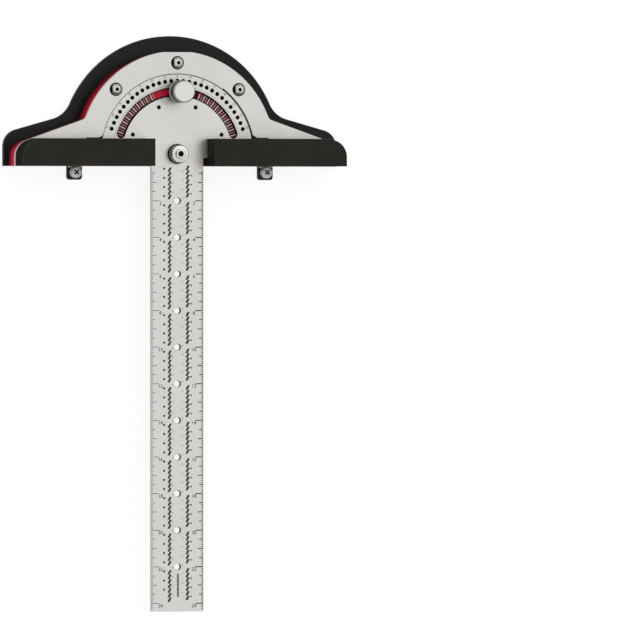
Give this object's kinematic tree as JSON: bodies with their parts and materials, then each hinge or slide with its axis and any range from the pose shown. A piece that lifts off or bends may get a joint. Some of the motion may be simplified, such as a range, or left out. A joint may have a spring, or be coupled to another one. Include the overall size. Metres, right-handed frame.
{
  "type": "t square",
  "caption": "Adjustable T square: a graduated stainless blade swings on an indexed protractor head with a raised fence, a lock knob and sliding support lips.",
  "frame": {"origin": "on the blade's pivot axis, at the head's flat rear face", "axes": "+Z out of the graduated face, +Y from the pivot to the top of the dome (the blade hangs along -Y at rest), +X along the fence"},
  "size_m": [0.1908, 0.3145, 0.0303],
  "materials": {
    "black_plate": "satin black anodised",
    "black_bar": "fine matt black anodised",
    "red_body": "satin red anodised",
    "plate_steel": "satin stainless",
    "blade_steel": "satin stainless with engraved marks",
    "bright_steel": "turned, bright",
    "screw_steel": "plated",
    "spring_steel": "drawn wire",
    "dark_steel": "blackened",
    "bush_brass": "turned"
  },
  "bodies": {
    "head": {"rear_plate": "black_plate", "body_block": "red_body", "front_plate": "plate_steel", "fence_bar_left": "black_bar", "fence_bar_right": "black_bar", "pivot_bush": "bush_brass", "pivot_washer": "dark_steel", "pivot_screw": "bright_steel", "pivot_nut": "screw_steel", "plate_screws": "bright_steel", "fence_screws": "screw_steel", "rear_screws": "screw_steel", "lock_stud": "screw_steel", "detent_screws": "dark_steel", "index_spring": "spring_steel", "half_step_spring": "spring_steel"},
    "blade": {"blade": "blade_steel"},
    "lock_carrier": {"lock_washer": "bright_steel"},
    "lock_knob": {"lock_knob": "bright_steel"},
    "lip_left": {"lip_left": "black_plate", "lip_screw_left": "bright_steel"},
    "lip_right": {"lip_right": "black_plate", "lip_screw_right": "bright_steel"},
    "index_ball": {"index_ball": "bright_steel"},
    "half_step_ball": {"half_step_ball": "bright_steel"}
  },
  "joints": [
    {"name": "blade_swing", "type": "hinge", "parent": "head", "child": "blade", "pos_m": [0, 0, 0.015], "axis": [0, 0, 1], "range_deg": [-70, 70]},
    {"name": "lock_lift", "type": "slide", "parent": "head", "child": "lock_carrier", "axis": [0, 0, 1], "range_m": [0, 0.0007]},
    {"name": "lock_turn", "type": "hinge", "parent": "lock_carrier", "child": "lock_knob", "pos_m": [0, 0.034, 0.0165], "axis": [0, 0, 1], "range_deg": [0, 360]},
    {"name": "lip_left_slide", "type": "slide", "parent": "head", "child": "lip_left", "axis": [0, 1, 0], "range_m": [0, 0.0074]},
    {"name": "lip_right_slide", "type": "slide", "parent": "head", "child": "lip_right", "axis": [0, 1, 0], "range_m": [0, 0.0074]},
    {"name": "index_ball_slide", "type": "slide", "parent": "head", "child": "index_ball", "axis": [0, 0, 1], "range_m": [-0.0005, 0.0005], "stiffness_N_per_m": 20, "deforming": ["index_spring"]},
    {"name": "half_step_ball_slide", "type": "slide", "parent": "head", "child": "half_step_ball", "axis": [0, 0, 1], "range_m": [-0.0005, 0], "stiffness_N_per_m": 20, "deforming": ["half_step_spring"]}
  ],
  "couplings": [
    {"joint": "lock_turn", "follows": "lock_lift", "rad_per_m": 8976}
  ]
}
